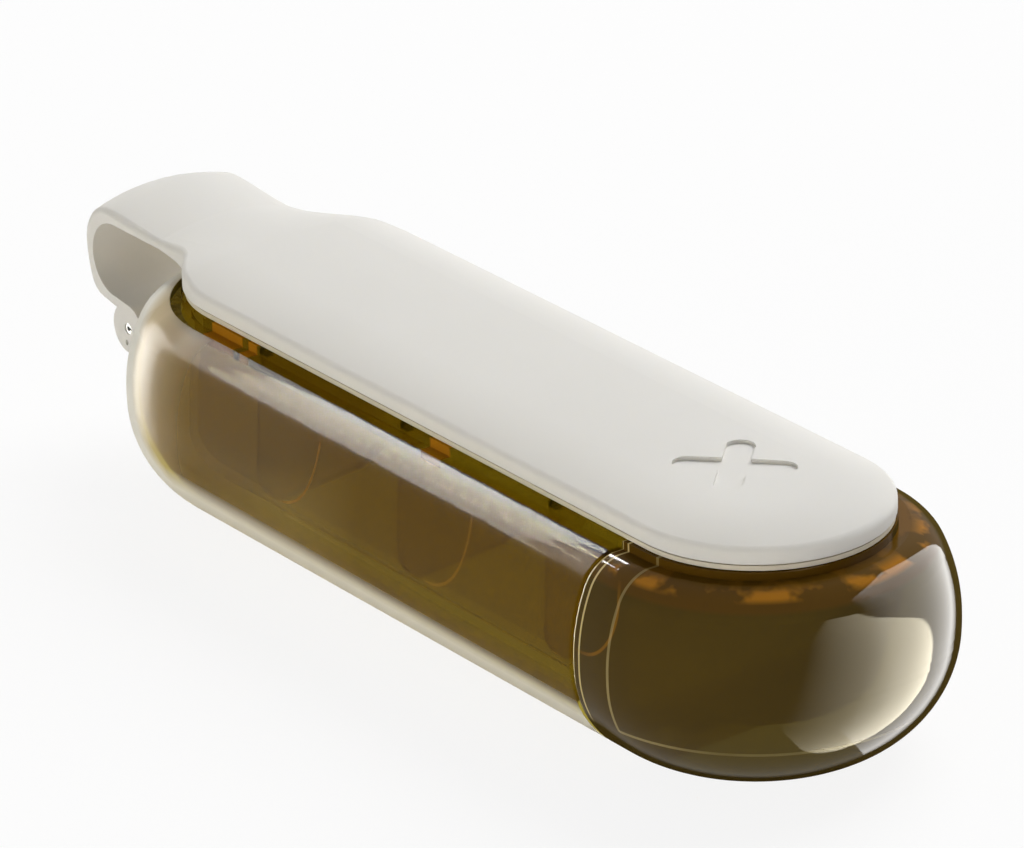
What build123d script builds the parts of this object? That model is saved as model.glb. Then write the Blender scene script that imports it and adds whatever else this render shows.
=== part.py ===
from build123d import *
import os
import math

# Portable pill box: a satin amber tub that holds a clear tray with cross walls, a clear nose cap
# that pulls off the front, and a cream lid that ends in a carrying loop, hinged behind the tub.
# Millimetres. +X points to the nose cap, +Z up, and the origin is the middle of the flat base.

# Section of the body: half of it, from the middle of the base to the rim, as tangent arcs
base_half = 6.1
belly_radius = 19.7
belly_turn = 14.7
corner_radius = 12.4
corner_turn = 73.8
side_radius = 68.0
side_turn = 0.8
upper_side_radius = 17.8
upper_side_turn = 24.9
shoulder_radius = 4.6
shoulder_turn = 56.3

# Plan of the body: straight sides between two half-round ends
end_centre = 38.3
parting_x = 35.0
edge_break = 0.4

# Tub shell
shell_wall = 2.2
lip_half = 14.2
lip_z = 22.4
bulkhead = 2.0
bulkhead_inset = 1.65

# Hinge at the back of the tub
hinge_x = -61.9
hinge_z = 14.2
knuckle_radius = 2.4
knuckle_half = 4.2
knuckle_reach = 4.6
pin_radius = 0.6
pin_bore_radius = 0.3
pin_slit = 0.25
pin_half = 8.5

# Tray inside the tub, and the opening that it shares with the nose cap
opening_half = 11.6
tray_wall = 1.2
tray_corner = 4.0
tray_bottom = 5.0
seat_half = 14.1
seat_z = 24.4
flange_gap = 0.08
spigot_length = 6.0
spigot_gap = 0.15
nose_seat_drop = 0.1

# Cross walls of the tray
divider_places = (-30.0, -4.5, 21.0)
divider_thickness = 1.2
divider_top = 22.95
groove_depth = 0.5
groove_gap = 0.05

# Lid: plan, side view and layers
lid_half = 13.85
lid_front_centre = 38.55
lid_bottom = 25.1
lid_top = 28.6
neck_start = -38.5
neck_length = 14.0
neck_convex_share = 0.65
strap_half = 8.6
crown_middle_half = 7.0
crown_radius = 120.0
crown_side_radius = 18.9
strap_crown_radius = 27.0
strap_side_radius = 25.0
crown_edge = 0.8
crown_bite = 0.02
crown_edge_height = 1.35
outline_inner_half = 7.5
outline_cross_share = 0.8
outer_back_x = -68.5
shaving_half = 15.0
shaving_depth = 3.0
cavity_half = 11.9
cavity_top = 26.3
plus_x = 35.0
plus_length = 12.6
plus_width = 3.0
plus_depth = 0.5

# Carrying loop, in side view
loop_top = (-65.2, 28.4)
loop_round_radius = 6.0
loop_back_radius = 13.0
loop_back_turn = 22.0
loop_heel_radius = 4.2
loop_heel_turn = 58.0
heel_length = 4.0
window_centre = (-64.1, 21.45)
window_radius = 4.2
strap_start = -44.0
strap_dip = (-55.0, 27.85)
strap_under_x = -50.5
strap_level_x = -55.0
lug_radius = 2.8
lug_inner_half = 4.45
pin_clearance = 0.05
notch_radius = 3.1
mark_hole_radius = 0.3
mark_hole_offset = -0.3
mark_hole_drop = 1.7
mark_hole_depth = 1.0

# Liner and gasket under the lid
gasket_half = 13.7
gasket_top = 24.9
gasket_width = 1.8
seat_gap = 0.05
liner_shoulder_half = 12.8
liner_plate_top = 25.5
liner_skirt = 1.4
plug_half = 10.4
plug_rear_centre = 38.0
plug_bottom = 23.6
plug_chamfer = 0.4

tray_half = opening_half + tray_wall
tray_floor = tray_bottom + tray_wall
neck_turn = 2 * math.degrees(math.atan((lid_half - strap_half) / neck_length))
neck_radii = neck_length / math.sin(math.radians(neck_turn))


def wall_line(inset):
    """Draw half of the body's section, moved inwards by inset, and return its last arc."""
    base = Line((0, inset), (base_half, inset))
    belly = JernArc(base @ 1, base % 1, belly_radius - inset, belly_turn)
    corner = JernArc(belly @ 1, belly % 1, corner_radius - inset, corner_turn)
    side = JernArc(corner @ 1, corner % 1, side_radius - inset, side_turn)
    upper = JernArc(side @ 1, side % 1, upper_side_radius - inset, upper_side_turn)
    return JernArc(upper @ 1, upper % 1, shoulder_radius - inset, shoulder_turn)


def shell_section():
    """Half of the tub shell's section: the wall, and the step under the tray's flange."""
    with BuildSketch() as section:
        with BuildLine():
            outer = wall_line(0)
            inner = wall_line(shell_wall)
            lip_under = (inner @ 1).Y
            Polyline(outer @ 1, (rim_half, lip_z), (lip_half, lip_z), (lip_half, lip_under), inner @ 1)
            Line((0, 0), (0, shell_wall))
        make_face()
    return section.sketch


def solid_section(inset, top_half, top_z):
    """Half of the body's section as a full face, closed over the top at top_z."""
    with BuildSketch() as section:
        with BuildLine():
            outer = wall_line(inset)
            Polyline(outer @ 1, (top_half, (outer @ 1).Y), (top_half, top_z), (0, top_z), (0, inset))
        make_face()
    return section.sketch


def trough_section(half, bottom, corner, top):
    """Half of a round-cornered trough, from its floor to top."""
    with BuildSketch() as section:
        with BuildLine():
            floor = Line((0, bottom), (half - corner, bottom))
            bend = JernArc(floor @ 1, (1, 0), corner, 90)
            Polyline(bend @ 1, (half, top), (0, top), (0, bottom))
        make_face()
    return section.sketch


def flange_section():
    """Half of the tray's flange: its outer edge, the flat ledge and the raised seat."""
    edge = rim_half - flange_gap
    with BuildSketch() as section:
        with BuildLine():
            Polyline(
                (0, lip_z),
                (edge, lip_z),
                (edge, rim_z),
                (seat_half, rim_z),
                (seat_half, seat_z),
                (0, seat_z),
                close=True,
            )
        make_face()
    return section.sketch


def run_and_end(half_section, centre, length, mode=Mode.ADD):
    """Extrude a half section and its mirror along X from a round end, and turn that end."""
    direction = math.copysign(1, centre)
    plane = Plane((centre, 0, 0), x_dir=(0, 1, 0), z_dir=(1, 0, 0))
    with BuildSketch(plane) as run:
        add(half_section)
        mirror(about=Plane.YZ)
    extrude(run.sketch, amount=-direction * length, mode=mode)
    with BuildSketch(plane) as end:
        add(half_section)
    revolve(end.sketch, axis=Axis((centre, 0, 0), (0, 0, -direction)), revolution_arc=180, mode=mode)


def straight_run(half_section, start, length, mode=Mode.ADD):
    """Extrude a half section and its mirror along X."""
    with BuildSketch(Plane((start, 0, 0), x_dir=(0, 1, 0), z_dir=(1, 0, 0))) as run:
        add(half_section)
        mirror(about=Plane.YZ)
    extrude(run.sketch, amount=length, mode=mode)


def break_outer_edge(parting_face):
    """Round the outside edge of a parting face, from the base up to the rim."""
    rim = parting_face.outer_wire().edges()
    fillet(rim.filter_by(lambda e: e.center().Z < 1 or abs(e.center().Y) > rim_half), edge_break)


def strap_fore_line():
    """Draw the strap's upper line from the lid down to its dip, in side view."""
    return Spline((strap_start, lid_top), strap_dip, tangents=((-1, 0), (-1, 0)))


def strap_rear_line():
    """Draw the strap's upper line from its dip up to the loop."""
    return Spline(strap_dip, loop_top, tangents=((-1, 0), (-1, 0)))


def loop_back_line():
    """Draw the back of the loop: tight round at the top, long round, heel and foot."""
    top_round = JernArc(loop_top, (-1, 0), loop_round_radius, 90)
    back = JernArc(top_round @ 1, top_round % 1, loop_back_radius, loop_back_turn)
    heel = JernArc(back @ 1, back % 1, loop_heel_radius, loop_heel_turn)
    return Line(heel @ 1, heel @ 1 + (heel % 1) * heel_length)


def shaving_section(height, middle_radius, side_radius):
    """Half of what the crown takes off above an arch, which is flatter in its middle."""
    middle_turn = math.asin(crown_middle_half / middle_radius)
    reach = (shaving_half - crown_middle_half) / side_radius + math.sin(middle_turn)
    with BuildSketch() as section:
        with BuildLine():
            middle = JernArc((0, height), (1, 0), middle_radius, -math.degrees(middle_turn))
            flank = JernArc(middle @ 1, middle % 1, side_radius, math.degrees(middle_turn - math.asin(reach)))
            top = height + shaving_depth
            Polyline(flank @ 1, (shaving_half, top), (0, top), (0, height))
        make_face()
    return section.sketch


def placed_shaving(path, share, middle_radius, side_radius):
    """Both halves of a crown's shaving, across a path at a share of its length."""
    with BuildSketch(Plane(path @ share, x_dir=(0, -1, 0), z_dir=path % share)) as section:
        add(shaving_section(-crown_bite, middle_radius, side_radius))
        mirror(about=Plane.YZ)
    return section.sketch


def stadium(half, rear_centre, mode=Mode.ADD):
    """Add the plan outline of a lid layer: two round ends of radius half, joined by straight sides."""
    with Locations(((lid_front_centre - rear_centre) / 2, 0)):
        SlotCenterToCenter(lid_front_centre + rear_centre, 2 * half, mode=mode)


def lies_on_lid_outline(edge):
    """Tell whether an edge borders the crowned top of the lid or the loop's back."""
    centre = edge.center()
    beside = abs(centre.Y) > outline_inner_half and abs((edge % 0.5).Y) < outline_cross_share
    in_front = centre.X > lid_front_centre + outline_inner_half
    high = centre.Z > lid_bottom + crown_edge_height or centre.X < outer_back_x
    return high and (beside or in_front)


lid_front = lid_front_centre + lid_half
lid_back = loop_top[0] - loop_round_radius
with BuildLine():
    rim = wall_line(0) @ 1
rim_half = rim.X
rim_z = rim.Y
rear_length = parting_x + end_centre
nose_length = end_centre - parting_x
hinge_axis_plane = Plane((hinge_x, 0, hinge_z), x_dir=(1, 0, 0), z_dir=(0, -1, 0))

# Tub shell: straight run and half-round back, front bulkhead round the tray, hinge knuckle
with BuildPart() as tub_shell:
    run_and_end(shell_section(), -end_centre, rear_length)
    straight_run(solid_section(bulkhead_inset, lip_half, lip_z), parting_x - bulkhead, bulkhead)
    break_outer_edge(tub_shell.faces().filter_by(Axis.X).sort_by(Axis.X)[-1])
    with BuildSketch(hinge_axis_plane):
        Circle(knuckle_radius)
        with Locations((knuckle_reach / 2, 0)):
            Rectangle(knuckle_reach, 2 * knuckle_radius)
    extrude(amount=knuckle_half, both=True)
    way = trough_section(tray_half + seat_gap, tray_bottom - seat_gap, tray_corner + seat_gap, seat_z)
    run_and_end(way, -end_centre, rear_length, mode=Mode.SUBTRACT)
    with BuildSketch(hinge_axis_plane):
        Circle(pin_radius)
    extrude(amount=knuckle_half, both=True, mode=Mode.SUBTRACT)

# Tray: round-cornered trough with a flange, open at its front spigot, grooved for the walls
with BuildPart() as compartment_tray:
    trough = trough_section(tray_half, tray_bottom, tray_corner, lip_z)
    run_and_end(trough, -end_centre, rear_length)
    run_and_end(flange_section(), -end_centre, rear_length)
    straight_run(trough, parting_x, spigot_length)
    room = trough_section(opening_half, tray_floor, tray_corner - tray_wall, seat_z)
    run_and_end(room, -end_centre, rear_length + spigot_length, mode=Mode.SUBTRACT)
    for place in divider_places:
        groove = trough_section(
            opening_half + groove_depth,
            tray_floor - groove_depth,
            tray_corner - tray_wall + groove_depth,
            seat_z,
        )
        half_groove = divider_thickness / 2 + groove_gap
        straight_run(groove, place - half_groove, 2 * half_groove, mode=Mode.SUBTRACT)

# Cross walls: plates that stand in the tray's grooves
dividers = {}
for name, place in zip(("divider_rear", "divider_middle", "divider_front"), divider_places):
    with BuildPart() as divider:
        plate = trough_section(
            opening_half + groove_depth - groove_gap,
            tray_floor - groove_depth,
            tray_corner - tray_wall + groove_depth,
            divider_top,
        )
        straight_run(plate, place - divider_thickness / 2, divider_thickness)
        fillet(divider.edges().filter_by(Axis.Y).group_by(Axis.Z)[-1], divider_thickness / 3)
    dividers[name] = divider

# Nose cap: thick clear front of the body, hollowed in line with the tray, with a mouth for its spigot
with BuildPart() as nose_cap:
    run_and_end(solid_section(0, seat_half, seat_z - nose_seat_drop), end_centre, nose_length)
    rear_face = nose_cap.faces().filter_by(Axis.X).sort_by(Axis.X)[0]
    fillet(rear_face.outer_wire().edges(), edge_break)
    pocket = trough_section(opening_half, tray_floor, tray_corner - tray_wall, seat_z)
    run_and_end(pocket, end_centre, nose_length, mode=Mode.SUBTRACT)
    mouth = trough_section(
        tray_half + spigot_gap,
        tray_bottom - spigot_gap,
        tray_corner + spigot_gap,
        lip_z + spigot_gap,
    )
    straight_run(mouth, parting_x, spigot_length + 2 * spigot_gap, mode=Mode.SUBTRACT)

# Lid cover: the side view with the loop, cut to the plan with its neck
with BuildPart() as lid_cover:
    with BuildSketch(Plane.XZ):
        with BuildLine():
            Line((lid_front_centre, lid_top), (strap_start, lid_top))
            strap_fore_line()
            strap_rear_line()
            foot = loop_back_line()
            window_top = (window_centre[0], window_centre[1] + window_radius)
            window_foot = (window_centre[0], window_centre[1] - window_radius)
            Polyline(foot @ 1, (hinge_x, hinge_z), (hinge_x, hinge_z + lug_radius), window_foot)
            RadiusArc(window_foot, window_top, window_radius)
            Polyline(
                window_top,
                (strap_level_x, window_top[1]),
                (strap_under_x, lid_bottom),
                (lid_front, lid_bottom),
                (lid_front, lid_top),
                (lid_front_centre, lid_top),
            )
        make_face()
    extrude(amount=lid_half, both=True)
    with BuildSketch(Plane.XY):
        with BuildLine():
            nose = CenterArc((lid_front_centre, 0), lid_half, 0, 90)
            straight = Line(nose @ 1, (neck_start, lid_half))
            convex = JernArc(straight @ 1, (-1, 0), neck_radii * neck_convex_share, neck_turn)
            concave = JernArc(convex @ 1, convex % 1, neck_radii * (1 - neck_convex_share), -neck_turn)
            Polyline(concave @ 1, (lid_back, strap_half), (lid_back, 0), (lid_front, 0))
        make_face()
        mirror(about=Plane.XZ)
    extrude(amount=lid_top, mode=Mode.INTERSECT)
    # Crown: shavings with an arched underside leave the top rounded, evenly so across the strap
    lid_shaving = shaving_section(lid_top - crown_bite, crown_radius, crown_side_radius)
    run_and_end(lid_shaving, lid_front_centre, lid_front_centre - strap_start, mode=Mode.SUBTRACT)
    with BuildLine(Plane.XZ) as fore_line:
        strap_fore_line()
    with BuildLine(Plane.XZ) as rear_line:
        strap_rear_line()
    with BuildLine(Plane.XZ) as loop_line:
        loop_back_line()
    fore_path = fore_line.wires()[0]
    lid_end = placed_shaving(fore_path, 0, crown_radius, crown_side_radius)
    strap_end = placed_shaving(fore_path, 1, strap_crown_radius, strap_side_radius)
    sweep(sections=[lid_end, strap_end], path=fore_path, multisection=True, mode=Mode.SUBTRACT)
    for path in (rear_line.wires()[0], loop_line.wires()[0]):
        sweep(placed_shaving(path, 0, strap_crown_radius, strap_side_radius), path=path, mode=Mode.SUBTRACT)
    outline = lid_cover.edges().filter_by(lies_on_lid_outline)
    fillet(outline, crown_edge)
    # Lugs with the gap for the tub's knuckle, bored for the pin, with a small blind mark under it
    with BuildSketch(hinge_axis_plane):
        Circle(lug_radius)
    extrude(amount=strap_half, both=True)
    with BuildSketch(hinge_axis_plane):
        Circle(notch_radius)
    extrude(amount=lug_inner_half, both=True, mode=Mode.SUBTRACT)
    with BuildSketch(hinge_axis_plane):
        Circle(pin_radius + pin_clearance)
    extrude(amount=strap_half, both=True, mode=Mode.SUBTRACT)
    for side in (-1, 1):
        with BuildSketch(hinge_axis_plane.offset(side * strap_half)):
            with Locations((mark_hole_offset, -mark_hole_drop)):
                Circle(mark_hole_radius)
        extrude(amount=-side * mark_hole_depth, mode=Mode.SUBTRACT)
    # Cavity for the liner, and the plus with round ends
    with BuildSketch(Plane.XY.offset(lid_bottom)):
        stadium(cavity_half, end_centre)
    extrude(amount=cavity_top - lid_bottom, mode=Mode.SUBTRACT)
    with BuildSketch(Plane.XY.offset(lid_top - plus_depth)):
        with Locations((plus_x, 0)):
            SlotOverall(plus_length, plus_width, rotation=45)
            SlotOverall(plus_length, plus_width, rotation=-45)
    extrude(amount=plus_depth, mode=Mode.SUBTRACT)

# Gasket: flat silicone ring that rests on the tray's seat
with BuildPart() as lid_gasket:
    with BuildSketch(Plane.XY.offset(seat_z)):
        stadium(gasket_half, end_centre)
        stadium(gasket_half - gasket_width, end_centre, mode=Mode.SUBTRACT)
    extrude(amount=gasket_top - seat_z)

# Liner: plate that fills the cover's cavity, holds the gasket by its shoulder and closes the rooms
with BuildPart() as lid_liner:
    with BuildSketch(Plane.XY.offset(plug_bottom)):
        stadium(plug_half, plug_rear_centre)
    extrude(amount=gasket_top - plug_bottom)
    chamfer(lid_liner.edges().group_by(Axis.Z)[0], plug_chamfer)
    with BuildSketch(Plane.XY.offset(seat_z + seat_gap)):
        stadium(cavity_half - seat_gap, end_centre)
    extrude(amount=cavity_top - seat_z - seat_gap)
    with BuildSketch(Plane.XY.offset(gasket_top)):
        stadium(liner_shoulder_half, end_centre)
    extrude(amount=lid_bottom - gasket_top)
    with BuildSketch(Plane.XY.offset(liner_plate_top)):
        stadium(cavity_half - seat_gap - liner_skirt, end_centre)
    extrude(amount=cavity_top - liner_plate_top, mode=Mode.SUBTRACT)

# Hinge pin: split spring tube, pressed in the knuckle and free in the lugs
with BuildPart() as hinge_pin:
    with BuildSketch(hinge_axis_plane):
        Circle(pin_radius)
        Circle(pin_bore_radius, mode=Mode.SUBTRACT)
        with Locations((pin_radius, 0)):
            Rectangle(2 * pin_radius, pin_slit, mode=Mode.SUBTRACT)
    extrude(amount=pin_half, both=True)

pieces = {
    "tub_shell": tub_shell,
    "compartment_tray": compartment_tray,
    "nose_cap": nose_cap,
    "lid_cover": lid_cover,
    "lid_gasket": lid_gasket,
    "lid_liner": lid_liner,
    "hinge_pin": hinge_pin,
    **dividers,
}
os.makedirs("parts", exist_ok=True)
for name, piece in pieces.items():
    piece.part.label = name
    export_step(piece.part, f"parts/{name}.step")
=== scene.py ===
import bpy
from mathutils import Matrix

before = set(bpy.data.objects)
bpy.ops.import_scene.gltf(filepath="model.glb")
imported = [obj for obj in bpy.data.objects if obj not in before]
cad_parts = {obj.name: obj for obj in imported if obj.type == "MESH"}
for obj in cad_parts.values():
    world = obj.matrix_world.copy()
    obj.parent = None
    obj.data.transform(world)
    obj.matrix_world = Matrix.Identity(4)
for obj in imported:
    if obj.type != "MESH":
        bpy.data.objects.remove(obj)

"""Looks of a portable pill box: satin amber tub, clear nose, cream lid with a carrying loop."""

import logging
import math
from dataclasses import dataclass
from enum import Enum
from typing import Any, Dict, List, Optional, Tuple, Union

import bmesh
import bpy
from mathutils import Matrix, Vector

log = logging.getLogger("pill_box")

Colour = Tuple[float, float, float]
Place = Tuple[float, float, float]
Number = Union[float, "Signal"]
Paint = Union[Colour, bpy.types.NodeSocket]
WHITE: Colour = (1.0, 1.0, 1.0)


class Kind(Enum):
    """Shader nodes that the finishes use, by their Blender type names."""

    PRINCIPLED = "ShaderNodeBsdfPrincipled"
    TRANSPARENT = "ShaderNodeBsdfTransparent"
    MIX_SHADER = "ShaderNodeMixShader"
    EMISSION = "ShaderNodeEmission"
    BACKGROUND = "ShaderNodeBackground"
    DIFFUSE = "ShaderNodeBsdfDiffuse"
    OUTPUT = "ShaderNodeOutputMaterial"
    LAMP_OUTPUT = "ShaderNodeOutputLight"
    WORLD_OUTPUT = "ShaderNodeOutputWorld"
    COORDINATES = "ShaderNodeTexCoord"
    NOISE = "ShaderNodeTexNoise"
    BUMP = "ShaderNodeBump"
    MIX = "ShaderNodeMix"
    MATHS = "ShaderNodeMath"
    LIGHT_PATH = "ShaderNodeLightPath"
    GEOMETRY = "ShaderNodeNewGeometry"
    LAYER_WEIGHT = "ShaderNodeLayerWeight"
    SEPARATE = "ShaderNodeSeparateXYZ"
    RAMP = "ShaderNodeMapRange"


class Signal:
    """A socket that carries a number, with operators that add the Math nodes."""

    def __init__(self, graph: "Graph", socket: bpy.types.NodeSocket) -> None:
        """Keep the graph that the socket belongs to.

        Args:
            graph: The node tree's builder.
            socket: An output socket with a value.
        """
        self.graph = graph
        self.socket = socket

    def maths(self, operation: str, left: Number, right: Number) -> "Signal":
        """Add a Math node.

        Args:
            operation: The node's operation, such as MULTIPLY.
            left: First operand.
            right: Second operand.

        Returns:
            The node's result.
        """
        node = self.graph.node(Kind.MATHS, {"operation": operation}, {0: left, 1: right})
        return Signal(self.graph, node.outputs[0])

    def __add__(self, other: Number) -> "Signal":
        """Sum of this signal and another."""
        return self.maths("ADD", self, other)

    def __radd__(self, other: Number) -> "Signal":
        """Sum with a number on the left."""
        return self.maths("ADD", other, self)

    def __sub__(self, other: Number) -> "Signal":
        """Difference of this signal and another."""
        return self.maths("SUBTRACT", self, other)

    def __rsub__(self, other: Number) -> "Signal":
        """Difference of a number on the left and this signal."""
        return self.maths("SUBTRACT", other, self)

    def __mul__(self, other: Number) -> "Signal":
        """Product of this signal and another."""
        return self.maths("MULTIPLY", self, other)

    def __rmul__(self, other: Number) -> "Signal":
        """Product with a number on the left."""
        return self.maths("MULTIPLY", other, self)

    def __pow__(self, other: Number) -> "Signal":
        """This signal raised to a power."""
        return self.maths("POWER", self, other)


class Graph:
    """Builder of one node tree."""

    def __init__(self, tree: bpy.types.NodeTree) -> None:
        """Empty the tree and keep it.

        Args:
            tree: A material's or the world's node tree.
        """
        self.tree = tree
        self.tree.nodes.clear()

    def node(
        self,
        kind: Kind,
        settings: Optional[Dict[str, Any]] = None,
        inputs: Optional[Dict[Union[str, int], Any]] = None,
    ) -> bpy.types.Node:
        """Add one node, set it up and connect it.

        Args:
            kind: The type of node.
            settings: Properties of the node, set before its sockets.
            inputs: Values, sockets or signals for its input sockets.

        Returns:
            The new node.
        """
        made = self.tree.nodes.new(kind.value)
        for name, value in (settings or {}).items():
            setattr(made, name, value)
        for name, value in (inputs or {}).items():
            source = value.socket if isinstance(value, Signal) else value
            if isinstance(source, bpy.types.NodeSocket):
                self.tree.links.new(source, made.inputs[name])
            else:
                made.inputs[name].default_value = source
        return made

    def signal(self, made: bpy.types.Node, output: Union[str, int]) -> Signal:
        """Wrap an output of a node as a number."""
        return Signal(self, made.outputs[output])

    def place(self) -> bpy.types.NodeSocket:
        """Give the position on the piece, in metres."""
        return self.node(Kind.COORDINATES).outputs["Object"]

    def along(self, axis: str) -> Signal:
        """Give one coordinate of the position on the piece, in metres.

        Args:
            axis: X, Y or Z.

        Returns:
            The coordinate.
        """
        parts = self.node(Kind.SEPARATE, None, {0: self.place()})
        return self.signal(parts, axis)

    def facing(self) -> Signal:
        """Give 0 where the surface faces the eye and 1 at its outline."""
        return self.signal(self.node(Kind.LAYER_WEIGHT, None, {"Blend": 0.5}), "Facing")

    def noise(self, scale: float, detail: float = 2.0, roughness: float = 0.5) -> Signal:
        """Add a noise pattern on the piece.

        Args:
            scale: Cells per metre.
            detail: Octaves.
            roughness: Share of the finer octaves.

        Returns:
            The pattern's value, from 0 to 1.
        """
        values = {"Vector": self.place(), "Scale": scale, "Detail": detail, "Roughness": roughness}
        return self.signal(self.node(Kind.NOISE, None, values), 0)

    def bump(self, height: Signal, strength: float, distance: float) -> bpy.types.NodeSocket:
        """Turn a height into a normal.

        Args:
            height: The height pattern.
            strength: Share of the full effect.
            distance: Height of a step from 0 to 1, in metres.

        Returns:
            The normal socket.
        """
        values = {"Height": height, "Strength": strength, "Distance": distance}
        return self.node(Kind.BUMP, None, values).outputs[0]

    def blend(self, factor: Signal, first: Paint, second: Paint) -> bpy.types.NodeSocket:
        """Mix two colours by a factor.

        Args:
            factor: 0 gives the first colour, 1 the second.
            first: Linear colour, or a colour socket.
            second: Linear colour, or a colour socket.

        Returns:
            The mixed colour's socket.
        """
        values: Dict[Union[str, int], Any] = {0: factor}
        for slot, paint in ((6, first), (7, second)):
            values[slot] = (*paint, 1) if isinstance(paint, tuple) else paint
        return self.node(Kind.MIX, {"data_type": "RGBA"}, values).outputs[2]

    def over(self, share: Any, under: bpy.types.Node, above: bpy.types.Node) -> bpy.types.Node:
        """Lay one shader over another.

        Args:
            share: Share of the upper shader: a number, a signal or a socket.
            under: The lower shader.
            above: The upper shader.

        Returns:
            The mixed shader.
        """
        return self.node(Kind.MIX_SHADER, None, {0: share, 1: under.outputs[0], 2: above.outputs[0]})

    def seen_whole(self) -> Signal:
        """Tell apart what is seen from what is lit.

        Returns:
            1 for rays from the camera, from gloss and through clear plastic, else 0.
        """
        path = self.node(Kind.LIGHT_PATH)
        seen = self.signal(path, "Is Camera Ray") + self.signal(path, "Is Glossy Ray")
        return seen.maths("MINIMUM", seen + self.signal(path, "Is Transmission Ray"), 1.0)

    def window(self, value: Signal, start: float, end: float, soft: float = 0.00005) -> Signal:
        """Give 1 where a value lies between two others, with soft ends, else 0."""
        return self.remap(value, start - soft, start) * self.remap(value, end + soft, end)

    def remap(self, value: Signal, low: float, high: float) -> Signal:
        """Stretch a value from low..high to 0..1, and stop it there."""
        made = self.node(Kind.RAMP, None, {"Value": value, "From Min": low, "From Max": high})
        return self.signal(made, 0)


def blank_material(name: str) -> Tuple[bpy.types.Material, Graph]:
    """Start a material with an empty node tree.

    Args:
        name: The material's name.

    Returns:
        The material and its builder.
    """
    material = bpy.data.materials.new(name)
    material.use_nodes = True
    return material, Graph(material.node_tree)


@dataclass(frozen=True)
class MouldedPlastic:
    """Opaque satin moulding with a fine spark-eroded grain."""

    name: str
    colour: Colour
    shade: Colour
    roughness: float = 0.5
    cloud_cells: float = 38.0
    cloud_range: Tuple[float, float] = (0.35, 0.65)
    grain_cells: float = 5200.0
    grain_height: float = 0.000012
    grain_strength: float = 0.35
    grain_roughness: float = 0.08
    skin_share: float = 0.12
    skin_reach: Colour = (1.0, 0.9, 0.7)
    skin_depth: float = 0.0012

    def make(self) -> bpy.types.Material:
        """Build the material.

        Returns:
            The material, ready to assign.
        """
        material, graph = blank_material(self.name)
        cloud = graph.noise(self.cloud_cells, detail=3.0)
        grain = graph.noise(self.grain_cells, roughness=0.6)
        values = {
            "Base Color": graph.blend(graph.remap(cloud, *self.cloud_range), self.colour, self.shade),
            "Roughness": self.roughness + self.grain_roughness * (grain - 0.5),
            "Normal": graph.bump(grain, self.grain_strength, self.grain_height),
            "Subsurface Weight": self.skin_share,
            "Subsurface Radius": self.skin_reach,
            "Subsurface Scale": self.skin_depth,
            "Specular IOR Level": 0.0,
        }
        shader = graph.node(Kind.PRINCIPLED, None, values)
        graph.node(Kind.OUTPUT, None, {"Surface": shader.outputs[0]})
        return material


@dataclass(frozen=True)
class Mark:
    """An opaque satin colour over a share of a clear plastic, even all over."""

    colour: Colour
    share: float

    def where(self, graph: Graph) -> Number:
        """Lay out the mark, from 0 to 1."""
        return 1.0


@dataclass(frozen=True)
class Run(Mark):
    """A colour that grows along the box from one place to another."""

    start: float = 0.0
    end: float = 1.0
    power: float = 1.0

    def where(self, graph: Graph) -> Number:
        """Lay out the growth along the box."""
        return graph.remap(graph.along("X"), self.start, self.end) ** self.power


@dataclass(frozen=True)
class Upper(Mark):
    """A colour above a height."""

    height: float = 0.0
    soft: float = 0.0004

    def where(self, graph: Graph) -> Number:
        """Lay out everything above the height."""
        return graph.remap(graph.along("Z"), self.height, self.height + self.soft)


@dataclass(frozen=True)
class GlintStreaks(Mark):
    """Broken painted glint streaks round the box, between two heights."""

    low: float = 0.0
    high: float = 0.0
    soft: float = 0.0004
    cells: float = 230.0
    gap_below: float = 0.46
    full_above: float = 0.56

    def where(self, graph: Graph) -> Number:
        """Lay out the streaks."""
        broken = graph.remap(graph.noise(self.cells, detail=3.0), self.gap_below, self.full_above)
        return graph.window(graph.along("Z"), self.low, self.high, self.soft) * broken


@dataclass(frozen=True)
class SeamGlint(Mark):
    """A thin painted glint line round the box at one place along it."""

    start: float = 0.0
    end: float = 0.0

    def where(self, graph: Graph) -> Number:
        """Lay out the line."""
        return graph.window(graph.along("X"), self.start, self.end)


@dataclass(frozen=True)
class LedgeGlint(Mark):
    """A painted glint on the near ledge, between two places along the box."""

    start: float = 0.0
    end: float = 0.0
    edge: float = -0.013
    edge_soft: float = 0.0002
    height: float = 0.0223
    height_soft: float = 0.0001
    end_soft: float = 0.0004

    def where(self, graph: Graph) -> Number:
        """Lay out the patch.

        Args:
            graph: The material's builder.

        Returns:
            1 on the patch, else 0.
        """
        outer = graph.remap(graph.along("Y"), self.edge + self.edge_soft, self.edge - self.edge_soft)
        upper = graph.remap(graph.along("Z"), self.height - self.height_soft, self.height + self.height_soft)
        return graph.window(graph.along("X"), self.start, self.end, self.end_soft) * outer * upper


@dataclass(frozen=True)
class BendGlint(Mark):
    """A painted curved glint, standing for light caught where a wall inside curves into the floor."""

    along: float = 0.0
    height: float = 0.019
    radius: float = 0.006
    width: float = 0.0002
    soft: float = 0.00012
    foot_from: float = -0.001
    foot_to: float = 0.002
    top: float = 0.0225
    full_below: float = 0.0205

    def where(self, graph: Graph) -> Number:
        """Lay out the curve: the front part of a ring, which fades at its foot and its top.

        Args:
            graph: The material's builder.

        Returns:
            1 on the curve, else 0.
        """
        x, z = graph.along("X"), graph.along("Z")
        across, upward = x - self.along, z - self.height
        reach = (across * across + upward * upward) ** 0.5
        ring = graph.window(reach, self.radius - self.width / 2, self.radius + self.width / 2, self.soft)
        foot = graph.remap(x, self.along + self.foot_from, self.along + self.foot_to)
        return ring * (foot * graph.remap(z, self.top, self.full_below))


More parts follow.
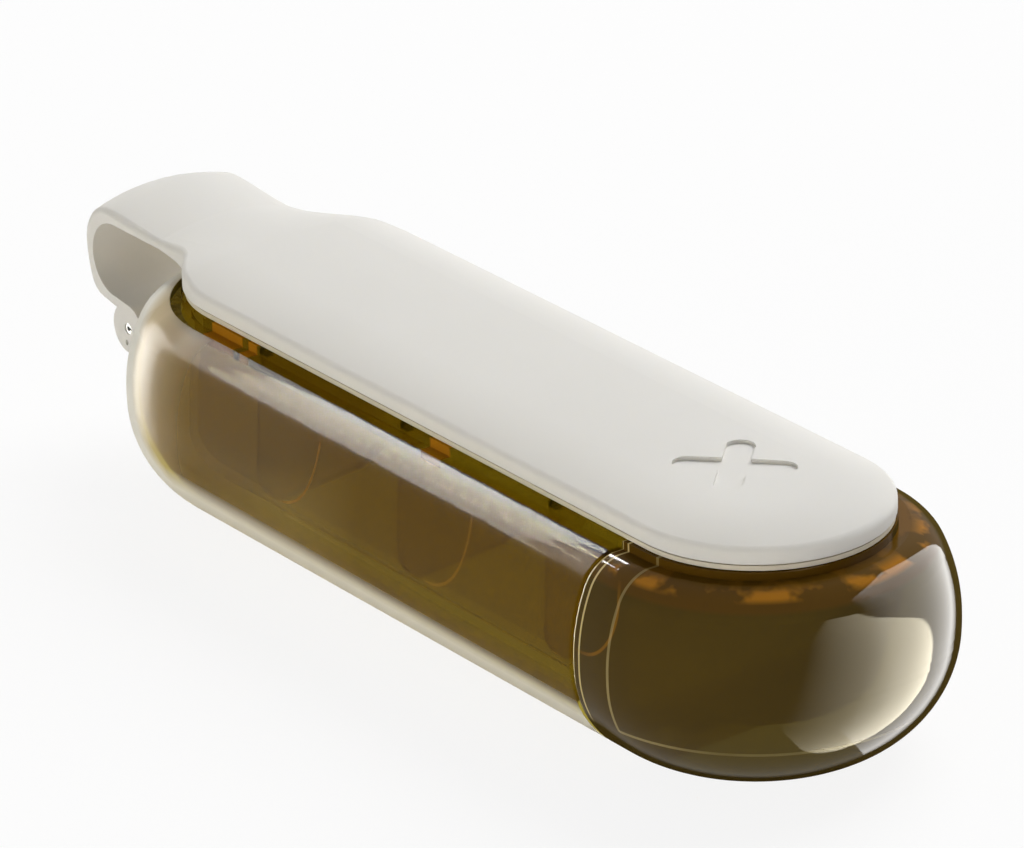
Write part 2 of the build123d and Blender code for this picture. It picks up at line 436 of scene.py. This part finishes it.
@dataclass(frozen=True)
class CornerGlint(Mark):
    """Painted glints along the two edges of an inner wall: one upright, one along the floor."""

    along: float = 0.0
    height: float = 0.0
    width: float = 0.0003
    cells: float = 70.0
    faint_below: float = 0.25
    full_above: float = 0.6

    def where(self, graph: Graph) -> Number:
        """Lay out both painted glints, faint in places.

        Args:
            graph: The material's builder.

        Returns:
            Up to 1 on the edges, else 0.
        """
        x, z = graph.along("X"), graph.along("Z")
        upright = graph.window(x, self.along, self.along + self.width)
        upright = upright * graph.remap(z, self.height, self.height + self.width)
        level = graph.window(z, self.height, self.height + self.width)
        level = level * graph.remap(x, self.along, self.along + self.width)
        return (upright + level) * graph.remap(graph.noise(self.cells), self.faint_below, self.full_above)


@dataclass(frozen=True)
class AmberPlastic:
    """Amber plastic that light goes through: it bends at the outside and runs straight inside."""

    name: str
    tint: Colour
    deep: Colour
    index: float = 1.04
    coat: float = 0.0
    coat_roughness: float = 0.25
    coat_index: float = 1.2
    # Painted outline colour over the plastic: painted edge light when pale, painted edge shade when deep.
    painted_rim: Optional[Tuple[float, float]] = None
    painted_rim_colour: Colour = (0.86, 0.85, 0.8)
    # Painted shade: a deeper tint above a height.
    painted_shade_above: Optional[float] = None
    painted_shade_soft: float = 0.0002
    painted_shade: Colour = (0.125, 0.11, 0.022)
    marks: Tuple[Mark, ...] = ()
    satin_roughness: float = 0.5
    cloud_cells: float = 55.0
    cloud_range: Tuple[float, float] = (0.3, 0.7)
    ripple_cells: float = 3800.0
    ripple_roughness: float = 0.02

    def colour(self, graph: Graph) -> bpy.types.NodeSocket:
        """Lay out the tint: slightly cloudy, and darker above a height where one is given, as painted shade.

        Args:
            graph: The material's builder.

        Returns:
            The tint's socket.
        """
        cloud = graph.remap(graph.noise(self.cloud_cells), *self.cloud_range)
        cloudy = graph.blend(cloud, self.tint, self.deep)
        if self.painted_shade_above is None:
            return cloudy
        high = graph.remap(graph.along("Z"), self.painted_shade_above, self.painted_shade_above + self.painted_shade_soft)
        return graph.blend(high, cloudy, self.painted_shade)

    def glaze(self) -> Dict[str, float]:
        """Give the values of the smooth skin, which clear and coloured shares have in common."""
        return {
            "Coat Weight": self.coat,
            "Coat Roughness": self.coat_roughness,
            "Coat IOR": self.coat_index,
        }

    def clear(self, graph: Graph) -> bpy.types.Node:
        """Build the tinted plastic itself.

        Args:
            graph: The material's builder.

        Returns:
            Its shader.
        """
        values = {
            "Base Color": self.colour(graph),
            "Roughness": self.ripple_roughness * graph.noise(self.ripple_cells, roughness=0.6),
            "Transmission Weight": 1.0,
            "IOR": self.index,
            **self.glaze(),
        }
        return graph.node(Kind.PRINCIPLED, None, values)

    def painted(self, graph: Graph, under: bpy.types.Node, mark: Mark) -> bpy.types.Node:
        """Paint a mark over the plastic; the glints, haze and highlights among the marks are painted light.

        Args:
            graph: The material's builder.
            under: The shader below.
            mark: What is put over it.

        Returns:
            The mixed shader.
        """
        values = {
            "Base Color": (*mark.colour, 1),
            "Roughness": self.satin_roughness,
            "Specular IOR Level": 0.0,
            **self.glaze(),
        }
        colour = graph.node(Kind.PRINCIPLED, None, values)
        return graph.over(mark.share * mark.where(graph), under, colour)

    def paint_rim(self, graph: Graph, under: bpy.types.Node, painted_rim: Tuple[float, float]) -> bpy.types.Node:
        """Paint the outline colour over the plastic towards the outline: painted edge light where that
        colour is pale, painted edge shade where it is deep.

        Args:
            graph: The material's builder.
            under: The shader below.
            painted_rim: Where it begins and is complete, as 1 minus the cosine of the angle of view.

        Returns:
            The mixed shader.
        """
        values = {
            "Base Color": (*self.painted_rim_colour, 1),
            "Roughness": self.satin_roughness,
            "Specular IOR Level": 0.0,
        }
        edge = graph.node(Kind.PRINCIPLED, None, values)
        return graph.over(graph.remap(graph.facing(), *painted_rim), under, edge)

    def make(self) -> bpy.types.Material:
        """Build the material.

        Returns:
            The material, ready to assign.
        """
        material, graph = blank_material(self.name)
        front = self.clear(graph)
        for mark in self.marks:
            front = self.painted(graph, front, mark)
        if self.painted_rim is not None:
            front = self.paint_rim(graph, front, self.painted_rim)
        through = graph.node(Kind.TRANSPARENT, None, {0: (*WHITE, 1)})
        both = graph.over(graph.node(Kind.GEOMETRY).outputs["Backfacing"], front, through)
        graph.node(Kind.OUTPUT, None, {"Surface": both.outputs[0]})
        return material


@dataclass(frozen=True)
class Steel:
    """Drawn spring steel."""

    name: str
    colour: Colour = (0.55, 0.54, 0.5)
    scratch_cells: float = 4200.0
    scratch_depth: float = 0.000008
    scratch_strength: float = 0.2
    scratch_roughness: float = 0.16
    roughness: float = 0.26

    def make(self) -> bpy.types.Material:
        """Build the material.

        Returns:
            The material, ready to assign.
        """
        material, graph = blank_material(self.name)
        scratches = graph.noise(self.scratch_cells, detail=4.0)
        values = {
            "Base Color": (*self.colour, 1),
            "Metallic": 1.0,
            "Roughness": self.roughness + self.scratch_roughness * scratches,
            "Normal": graph.bump(scratches, self.scratch_strength, self.scratch_depth),
        }
        shader = graph.node(Kind.PRINCIPLED, None, values)
        graph.node(Kind.OUTPUT, None, {"Surface": shader.outputs[0]})
        return material


Finish = Union[MouldedPlastic, AmberPlastic, Steel]
# Colours of painted glints: orange and gold light caught by edges inside the clear plastic, painted on.
PAINTED_GLINT: Colour = (0.42, 0.17, 0.01)
PAINTED_GOLD_GLINT: Colour = (0.75, 0.6, 0.25)


class Assembly:
    """A group of CAD nodes that are dressed together."""

    def finishes(self) -> Dict[str, Finish]:
        """Give each node of the group its finish."""
        raise NotImplementedError

    def dress(self) -> None:
        """Give every node of the group its material, and report it."""
        made: Dict[str, bpy.types.Material] = {}
        for node, finish in self.finishes().items():
            if finish.name not in made:
                made[finish.name] = finish.make()
            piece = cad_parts[node]
            piece.data.materials.clear()
            piece.data.materials.append(made[finish.name])
            log.info("%s is dressed in %s", node, finish.name)


@dataclass
class Tub(Assembly):
    """Outer tub of satin amber, with a painted whitish highlight that grows towards its round rear end."""

    pale_from: float = -0.002
    pale_to: float = -0.014
    highlight_from: float = -0.0325
    highlight_to: float = -0.044
    bend_places: Tuple[float, float] = (-0.016, 0.0104)
    bend_radius: float = 0.0061

    def finishes(self) -> Dict[str, Finish]:
        """Give the tub its satin amber.

        Returns:
            The finish of the tub.
        """
        # Painted haze: the wall a little paler towards the rear, standing for reflected light.
        pale = Run((0.85, 0.66, 0.26), share=0.07, start=self.pale_from, end=self.pale_to)
        # Painted highlight: whitish colour growing towards the round rear end, standing for the reflected
        # light there.
        painted_highlight = Run((0.72, 0.6, 0.4), share=0.72, start=self.highlight_from, end=self.highlight_to, power=1.5)
        # Painted curved glints where the inner walls curve into the floor, seen through the tub.
        bends = tuple(BendGlint(PAINTED_GLINT, share=0.25, along=x, radius=self.bend_radius) for x in self.bend_places)
        satin = AmberPlastic(
            "satin_amber",
            tint=(0.142, 0.09, 0.002),
            deep=(0.136, 0.086, 0.0015),
            coat=0.2,
            # Painted edge light: a pale colour towards the outline, standing for the white surroundings
            # reflected there.
            painted_rim=(0.64, 0.77),
            painted_rim_colour=(0.9, 0.88, 0.8),
            marks=(pale, painted_highlight, *bends),
        )
        return {"tub_shell": satin}


@dataclass
class Tray(Assembly):
    """Clear inner tray with its cross walls; its flange, the ledge round the lid, is painted deeper as shade
    and carries painted glints.
    """

    ledge: float = 0.0222
    glint_spans: Tuple[Tuple[float, float], ...] = ((-0.0365, -0.0312), (-0.0297, -0.0285), (0.003, 0.006))

    def finishes(self) -> Dict[str, Finish]:
        """Give the tray and the cross walls their clear amber.

        Returns:
            The finish of each of them.
        """
        # Painted glints: patches of orange light on the near ledge.
        ledge_glints = tuple(LedgeGlint(PAINTED_GLINT, share=0.85, start=start, end=end) for start, end in self.glint_spans)
        inner = AmberPlastic(
            "inner_amber",
            tint=(0.8, 0.7, 0.45),
            deep=(0.78, 0.68, 0.43),
            index=1.02,
            # Painted shade: the flange is tinted deeper above the ledge height.
            painted_shade_above=self.ledge,
            marks=ledge_glints,
        )
        walls = ("divider_rear", "divider_middle", "divider_front")
        return {node: inner for node in ("compartment_tray", *walls)}


@dataclass
class NoseCap(Assembly):
    """Thick clear front end, with painted glints where the edges of its pocket show inside."""

    rear_edge: Tuple[float, float] = (0.035, 0.0354)
    inner_step: Tuple[float, float] = (0.0361, 0.0363)
    top: float = 0.0215
    streaks: Tuple[float, float] = (0.0228, 0.0231)
    pocket_rear: float = 0.0405
    pocket_floor: float = 0.0069
    bend_place: float = 0.0365
    bend_radius: float = 0.00445

    def finishes(self) -> Dict[str, Finish]:
        """Give the cap its clear amber.

        Returns:
            The finish of the cap.
        """
        glassy = AmberPlastic(
            "clear_amber",
            tint=(0.03, 0.02, 0.001),
            deep=(0.028, 0.019, 0.001),
            index=1.06,
            coat=0.55,
            coat_roughness=0.04,
            # Painted edge shade: a deep colour towards the outline.
            painted_rim=(0.68, 0.76),
            painted_rim_colour=(0.08, 0.054, 0.012),
            # Over an even deep amber and a warmer orange above the top height: painted glint streaks,
            # painted gold glint lines at the rear edge and the inner step, a painted curved glint, and
            # painted glints along the pocket's edges.
            marks=(
                Mark((0.084, 0.052, 0.0062), share=0.85),
                Upper((0.1, 0.048, 0.004), share=0.85, height=self.top),
                GlintStreaks(PAINTED_GLINT, share=0.8, low=self.streaks[0], high=self.streaks[1]),
                SeamGlint(PAINTED_GOLD_GLINT, share=0.8, start=self.rear_edge[0], end=self.rear_edge[1]),
                SeamGlint(PAINTED_GOLD_GLINT, share=0.8, start=self.inner_step[0], end=self.inner_step[1]),
                BendGlint(PAINTED_GLINT, share=0.4, along=self.bend_place, radius=self.bend_radius),
                CornerGlint(PAINTED_GOLD_GLINT, share=0.35, along=self.pocket_rear, height=self.pocket_floor),
            ),
        )
        return {"nose_cap": glassy}


@dataclass
class Lid(Assembly):
    """Cream lid with its strap and loop, the plate below it and the soft ring between lid and tray."""

    grain: float = 0.000012

    def finishes(self) -> Dict[str, Finish]:
        """Give the lid's pieces their cream plastic and silicone.

        Returns:
            The finish of each of them.
        """
        cream = MouldedPlastic(
            "cream_moulding",
            colour=(0.8, 0.785, 0.745),
            shade=(0.785, 0.77, 0.73),
            grain_height=self.grain,
        )
        soft = MouldedPlastic(
            "cream_silicone",
            colour=(0.74, 0.68, 0.55),
            shade=(0.72, 0.66, 0.53),
            roughness=0.6,
        )
        return {"lid_cover": cream, "lid_liner": cream, "lid_gasket": soft}


@dataclass
class Hinge(Assembly):
    """Split pin that carries the lid."""

    def finishes(self) -> Dict[str, Finish]:
        """Give the pin its spring steel."""
        return {"hinge_pin": Steel("spring_steel")}


class Reach(Enum):
    """What a lamp does: it is only mirrored, or it only lights matt surfaces."""

    MIRRORED = "mirrored only"
    MATT = "matt surfaces only"


@dataclass(frozen=True)
class Fade:
    """How a lamp's glow rises over its face, from nothing at the start to all of it at the end.

    A place on the face is the sum of its two directions, each from 0 to 1 and times its own weight.
    The power bends the rise, and least_low is the share that the lowest edge keeps.
    """

    across: float = 0.0
    upward: float = 0.0
    start: float = 0.0
    end: float = 1.0
    power: float = 1.0
    least_low: float = 1.0
    rounded: bool = False
    corner_power: float = 4.0
    corner_dark: float = 1.25


@dataclass(frozen=True)
class Lamp:
    """One rectangular lamp; its glow is its brightness as seen, where 1 is white."""

    name: str
    place: Place
    target: Place
    size: Tuple[float, float]
    glow: float
    reach: Reach = Reach.MIRRORED
    roll: float = 0.0
    fade: Optional[Fade] = None
    colour: Colour = WHITE


def around(azimuth: float, elevation: float, distance: float) -> Vector:
    """Find a place by its direction from the origin.

    Args:
        azimuth: Degrees from -Y towards +X.
        elevation: Degrees above the floor.
        distance: Metres.

    Returns:
        The place in metres.
    """
    a, e = math.radians(azimuth), math.radians(elevation)
    flat = distance * math.cos(e)
    return Vector((flat * math.sin(a), -flat * math.cos(a), distance * math.sin(e)))


STRIP_MIDDLE = -0.455
STRIP_AXIS = 0.02
STRIP_DISTANCE = 0.4
STRIP_SIZE = (0.1, 0.207)
CARD_DISTANCE = 2.0


def strip(number: int, turn: float, glow: float) -> Lamp:
    """Make one strip softbox beside the rear of the box, parallel to its length.

    Args:
        number: Its place in the row.
        turn: Degrees from -Y up to +Z, round the box.
        glow: Its brightness.

    Returns:
        The lamp.
    """
    a = math.radians(turn)
    target = (STRIP_MIDDLE, 0, STRIP_AXIS)
    away = (-STRIP_DISTANCE * math.cos(a), STRIP_AXIS + STRIP_DISTANCE * math.sin(a))
    return Lamp(f"shoulder_strip_{number}", (STRIP_MIDDLE, *away), target, STRIP_SIZE, glow)


def card(
    name: str,
    aim: Tuple[float, float],
    sides: Tuple[float, float, float, float],
    target: Place,
    glow: float,
    roll: float = 0.0,
    fade: Optional[Fade] = None,
    colour: Colour = WHITE,
) -> Lamp:
    """Make a card that covers a range of directions seen from a point on the box.

    Args:
        name: The lamp's name.
        aim: Azimuth and elevation of its plane's foot, in degrees.
        sides: Left, right, lower and upper edge, as tangents from the foot.
        target: The point on the box.
        glow: Its brightness.
        roll: Degrees that it is turned about the foot.
        fade: How its glow rises over its face.
        colour: Its linear colour.

    Returns:
        The lamp.
    """
    foot = around(*aim, CARD_DISTANCE)
    r = math.radians(roll)
    level = Vector((-foot.y, foot.x, 0)).normalized()
    upright = level.cross(foot).normalized()
    upright = upright if upright.z > 0 else -upright
    across = level * math.cos(r) + upright * math.sin(r)
    upward = upright * math.cos(r) - level * math.sin(r)
    left, right, low, high = (CARD_DISTANCE * side for side in sides)
    shift = across * (left + right) / 2 + upward * (low + high) / 2
    middle = Vector(target) + shift
    size = (right - left, high - low)
    return Lamp(name, tuple(middle + foot), tuple(middle), size, glow, Reach.MIRRORED, roll, fade, colour)


REAR_END = (-0.041, -0.0195, 0.018)
NOSE = (0.057, 0.0, 0.014)
BOX_MIDDLE = (0, 0, 0.02)
SIDE_MIDDLE = (-0.01, 0, 0.02)
LAMPS = (
    strip(1, turn=46.0, glow=98.0),
    strip(2, turn=72.0, glow=112.0),
    strip(3, turn=98.0, glow=114.0),
    card(
        "rear_left_card",
        aim=(-72, 0),
        sides=(-0.29, 0.158, -0.58, 0.5),
        target=REAR_END,
        glow=42.0,
        fade=Fade(upward=1.0, end=0.45),
    ),
    card(
        "nose_card",
        aim=(121, -24),
        sides=(-1.2, 0.85, -1.03, 0.63),
        target=NOSE,
        glow=44.0,
        roll=-30.0,
        fade=Fade(
            across=2.05,
            upward=1.112,
            start=0.75,
            end=2.15,
            power=1.2,
            least_low=0.52,
            rounded=True,
        ),
        colour=(1.0, 0.92, 0.7),
    ),
    card(
        "nose_side_card",
        aim=(160, -10),
        sides=(-1.0, 0.84, -1.28, 1.9),
        target=NOSE,
        glow=19.0,
        fade=Fade(across=1.0, end=0.35, least_low=0.35),
    ),
    Lamp(
        "rear_softbox",
        place=tuple(around(200, 46, 3.0)),
        target=BOX_MIDDLE,
        size=(2.4, 2.4),
        glow=5.2,
        reach=Reach.MATT,
    ),
    Lamp(
        "floor_bounce",
        place=tuple(around(28, -30, 1.2)),
        target=SIDE_MIDDLE,
        size=(1.0, 0.7),
        glow=2.0,
        reach=Reach.MATT,
    ),
    Lamp(
        "near_fill",
        place=tuple(around(8, 2, 1.2)),
        target=SIDE_MIDDLE,
        size=(0.9, 0.4),
        glow=6.6,
        reach=Reach.MATT,
        colour=(1.0, 0.94, 0.82),
    ),
)


@dataclass
class Studio:
    """Pale floor, soft lamps, white surroundings and the camera."""

    floor_half: float = 4.0
    floor_colour: Colour = (0.9, 0.9, 0.9)
    floor_glow: float = 0.88
    surround: float = 0.25
    azimuth: float = 54.418
    elevation: float = 23.062
    roll: float = -1.268
    lens: float = 259.9
    film_width: float = 36.0
    nearest: float = 0.05
    position: Place = (0.56678, -0.40738, 0.31843)

    def lay_floor(self) -> None:
        """Make the floor, which shows plain white to the camera apart from the object's shadow."""
        mesh = bpy.data.meshes.new("floor")
        shape = bmesh.new()
        bmesh.ops.create_grid(shape, x_segments=1, y_segments=1, size=self.floor_half)
        shape.to_mesh(mesh)
        shape.free()
        floor = bpy.data.objects.new("floor", mesh)
        bpy.context.scene.collection.objects.link(floor)
        material, graph = blank_material("floor_white")
        diffuse = graph.node(Kind.DIFFUSE, None, {"Color": (*self.floor_colour, 1)})
        glow = graph.node(Kind.EMISSION, None, {"Color": (*WHITE, 1), "Strength": 1.0})
        both = graph.over(self.floor_glow * graph.seen_whole(), diffuse, glow)
        graph.node(Kind.OUTPUT, None, {"Surface": both.outputs[0]})
        mesh.materials.append(material)
        floor.visible_glossy = False
        floor.visible_shadow = False

    def surround_with_white(self) -> None:
        """Set the world: an even pale light, white where it is seen."""
        world = bpy.data.worlds.new("studio")
        bpy.context.scene.world = world
        world.use_nodes = True
        graph = Graph(world.node_tree)
        strength = self.surround + (1.0 - self.surround) * graph.seen_whole()
        back = graph.node(Kind.BACKGROUND, None, {"Color": (*WHITE, 1), "Strength": strength})
        graph.node(Kind.WORLD_OUTPUT, None, {"Surface": back.outputs[0]})

    def shade_lamp(self, data: bpy.types.Light, fade: Fade) -> None:
        """Let a lamp's glow rise over its face.

        Args:
            data: The lamp.
            fade: How it rises.
        """
        data.use_nodes = True
        graph = Graph(data.node_tree)
        parts = graph.node(Kind.SEPARATE, None, {0: graph.node(Kind.GEOMETRY).outputs["Parametric"]})
        across, upward = graph.signal(parts, 0), graph.signal(parts, 1)
        rise = graph.remap(fade.across * across + fade.upward * upward, fade.start, fade.end) ** fade.power
        level = fade.least_low + (1.0 - fade.least_low) * upward
        strength = rise * level
        if fade.rounded:
            edge = (2.0 * across - 1.0) ** fade.corner_power + (2.0 * upward - 1.0) ** fade.corner_power
            strength = strength * graph.remap(edge, fade.corner_dark, 1.0)
        glow = graph.node(Kind.EMISSION, None, {"Strength": strength})
        graph.node(Kind.LAMP_OUTPUT, None, {0: glow.outputs[0]})

    def hang(self, lamp: Lamp) -> None:
        """Hang one lamp.

        Args:
            lamp: Its place, size, glow and reach.
        """
        data = bpy.data.lights.new(lamp.name, "AREA")
        data.shape = "RECTANGLE"
        data.size, data.size_y = lamp.size
        data.energy = lamp.glow * math.pi * lamp.size[0] * lamp.size[1]
        data.color = lamp.colour
        if lamp.fade:
            self.shade_lamp(data, lamp.fade)
        hung = bpy.data.objects.new(lamp.name, data)
        away = Vector(lamp.place) - Vector(lamp.target)
        turned = away.to_track_quat("Z", "Y").to_matrix() @ Matrix.Rotation(math.radians(lamp.roll), 3, "Z")
        hung.matrix_world = Matrix.Translation(lamp.place) @ turned.to_4x4()
        hung.visible_camera = False
        hung.visible_diffuse = lamp.reach is Reach.MATT
        hung.visible_glossy = lamp.reach is Reach.MIRRORED
        hung.visible_transmission = False
        bpy.context.scene.collection.objects.link(hung)

    def place_camera(self) -> None:
        """Put the camera where the photograph was taken from."""
        data = bpy.data.cameras.new("view")
        data.lens = self.lens
        data.sensor_width = self.film_width
        data.clip_start = self.nearest
        camera = bpy.data.objects.new("view", data)
        a, e, r = (math.radians(v) for v in (self.azimuth, self.elevation, self.roll))
        back = Vector((math.sin(a) * math.cos(e), -math.cos(a) * math.cos(e), math.sin(e)))
        level = Vector((math.cos(a), math.sin(a), 0))
        upright = back.cross(level)
        right = level * math.cos(r) + upright * math.sin(r)
        up = back.cross(right)
        camera.matrix_world = Matrix(
            (
                (right.x, up.x, back.x, self.position[0]),
                (right.y, up.y, back.y, self.position[1]),
                (right.z, up.z, back.z, self.position[2]),
                (0, 0, 0, 1),
            )
        )
        bpy.context.scene.collection.objects.link(camera)
        bpy.context.scene.camera = camera

    def build(self) -> None:
        """Set up the whole studio."""
        self.lay_floor()
        self.surround_with_white()
        for lamp in LAMPS:
            self.hang(lamp)
        self.place_camera()
        bpy.context.scene.view_settings.view_transform = "Standard"


def main() -> None:
    """Dress the pieces in order and set up the studio."""
    logging.basicConfig(level=logging.INFO, format="%(name)s: %(message)s")
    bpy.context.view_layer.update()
    groups: List[Assembly] = [Tub(), Tray(), NoseCap(), Lid(), Hinge()]
    for group in groups:
        group.dress()
    Studio().build()


if __name__ == "__main__":
    main()
